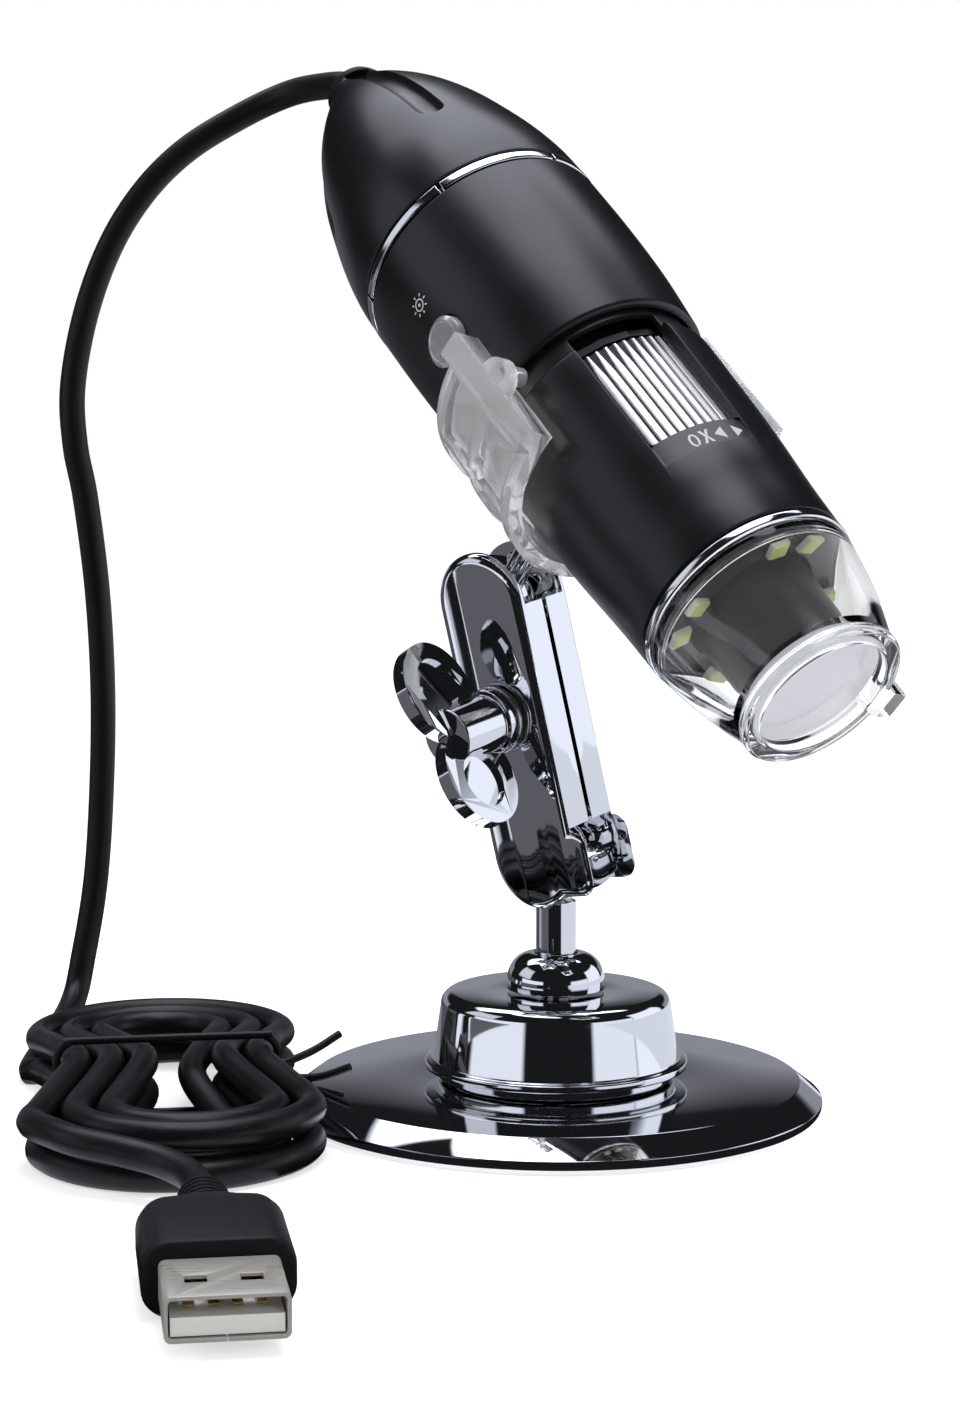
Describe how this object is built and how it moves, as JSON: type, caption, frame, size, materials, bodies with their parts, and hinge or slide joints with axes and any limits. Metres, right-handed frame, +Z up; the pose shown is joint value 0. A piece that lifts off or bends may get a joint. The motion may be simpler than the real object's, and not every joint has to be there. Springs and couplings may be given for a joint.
{
  "type": "usb digital microscope",
  "caption": "Handheld USB microscope in a clear clip on a chrome ball-joint clamp stand with a round base; clear lighted nose, focus wheel, light button, and a cord wound into a tied hank.",
  "frame": {"origin": "centre of the round base, on the surface that it stands on", "axes": "+Z up, the axis of the round base; +Y from the side that the nose points to, away from the viewer; +X to the viewer's right, away from the hank"},
  "size_m": [0.11, 0.1491, 0.135],
  "materials": {
    "board_green": "solder mask",
    "button_grey": "semi-gloss",
    "chip_black": "matt",
    "chrome": "mirror",
    "clear_plastic": "clear, polished",
    "contact_gold": "plated",
    "cord_black": "satin",
    "dark_plastic": "matt",
    "frosted_white": "frosted",
    "gland_rubber": "matt",
    "led_yellow": "phosphor under clear resin",
    "lens_glass": "polished",
    "pad": "matt",
    "satin_black": "satin",
    "silver_white": "semi-gloss",
    "steel": "satin",
    "white_plastic": "matt"
  },
  "bodies": {
    "base": {"base_pad": "pad", "base_plate": "chrome", "base_screw": "steel", "base_hub": "chrome", "base_collar": "chrome", "base_post": "chrome", "cord_lead": "cord_black", "cord_hank": "cord_black", "cord_plug_end": "cord_black", "hank_tie": "cord_black", "plug_body": "cord_black", "plug_shell": "steel", "plug_tongue": "white_plastic", "plug_contacts": "contact_gold"},
    "lower_ball": {"lower_ball": "chrome"},
    "arm": {"arm_rear_half": "chrome", "clamp_bolt": "chrome"},
    "clamp": {"arm_front_half": "chrome", "clamp_washer": "steel"},
    "wing_nut": {"wing_nut": "chrome"},
    "upper_ball": {"clip_ball": "chrome"},
    "clip": {"clip": "clear_plastic"},
    "scope": {"nose_cone": "clear_plastic", "front_window": "frosted_white", "lens_shroud": "dark_plastic", "led_board": "board_green", "led_1": "led_yellow", "led_2": "led_yellow", "led_3": "led_yellow", "led_4": "led_yellow", "led_5": "led_yellow", "led_6": "led_yellow", "led_7": "led_yellow", "led_8": "led_yellow", "front_trim_ring": "chrome", "lower_housing": "satin_black", "guide_tube": "dark_plastic", "upper_housing": "satin_black", "sensor_board": "board_green", "image_sensor": "chip_black", "main_board": "board_green", "control_chip": "chip_black", "button_switch": "chip_black", "cable_connector": "white_plastic", "rear_trim_ring": "chrome", "rear_cap": "satin_black", "cable_gland": "gland_rubber"},
    "focus_wheel": {"focus_wheel": "silver_white"},
    "lens_carrier": {"lens_carrier": "dark_plastic", "objective_lens": "lens_glass", "lens_retainer": "dark_plastic"},
    "led_button": {"led_button": "button_grey"}
  },
  "joints": [
    {"name": "stand_swivel", "type": "hinge", "parent": "base", "child": "lower_ball", "pos_m": [0, 0, 0.0336], "axis": [0, 0, 1], "range_deg": [-180, 180]},
    {"name": "arm_tilt", "type": "hinge", "parent": "lower_ball", "child": "arm", "pos_m": [0, 0, 0.0336], "axis": [-0.6342, -0.7558, -0.1633], "range_deg": [-55, 20]},
    {"name": "clamp_opens", "type": "slide", "parent": "arm", "child": "clamp", "axis": [-0.6342, -0.7558, -0.1633], "range_m": [0, 0.0007]},
    {"name": "wing_nut_turn", "type": "hinge", "parent": "clamp", "child": "wing_nut", "pos_m": [-0.00387, -0.00066, 0.05168], "axis": [-0.6342, -0.7558, -0.1633], "range_deg": [0, 360]},
    {"name": "scope_tilt", "type": "hinge", "parent": "arm", "child": "upper_ball", "pos_m": [-0.00685, -0.00117, 0.0656], "axis": [0.6342, 0.7558, 0.1633], "range_deg": [-60, 30], "deforming": ["cord_lead"]},
    {"name": "clip_spin", "type": "hinge", "parent": "upper_ball", "child": "clip", "pos_m": [-0.00685, -0.00117, 0.0656], "axis": [-0.3942, 0.4976, -0.7727], "range_deg": [-90, 90]},
    {"name": "scope_turn", "type": "hinge", "parent": "clip", "child": "scope", "pos_m": [0.00519, -0.01638, 0.08843], "axis": [-0.4672, 0.6155, 0.6347], "range_deg": [-180, 180]},
    {"name": "focus_turn", "type": "hinge", "parent": "scope", "child": "focus_wheel", "pos_m": [0.00967, -0.02229, 0.08233], "axis": [-0.4672, 0.6155, 0.6347], "range_deg": [-150, 150]},
    {"name": "lens_slide", "type": "slide", "parent": "scope", "child": "lens_carrier", "axis": [-0.4672, 0.6155, 0.6347], "range_m": [-0.003, 0.003]},
    {"name": "light_button_press", "type": "slide", "parent": "scope", "child": "led_button", "axis": [0.7859, 0.6181, -0.0209], "range_m": [0, 0.0006], "stiffness_N_per_m": 1200, "springref_m": -0.0005}
  ],
  "couplings": [
    {"joint": "wing_nut_turn", "follows": "clamp_opens", "rad_per_m": 8970},
    {"joint": "lens_slide", "follows": "focus_turn", "m_per_rad": 0.001145}
  ]
}
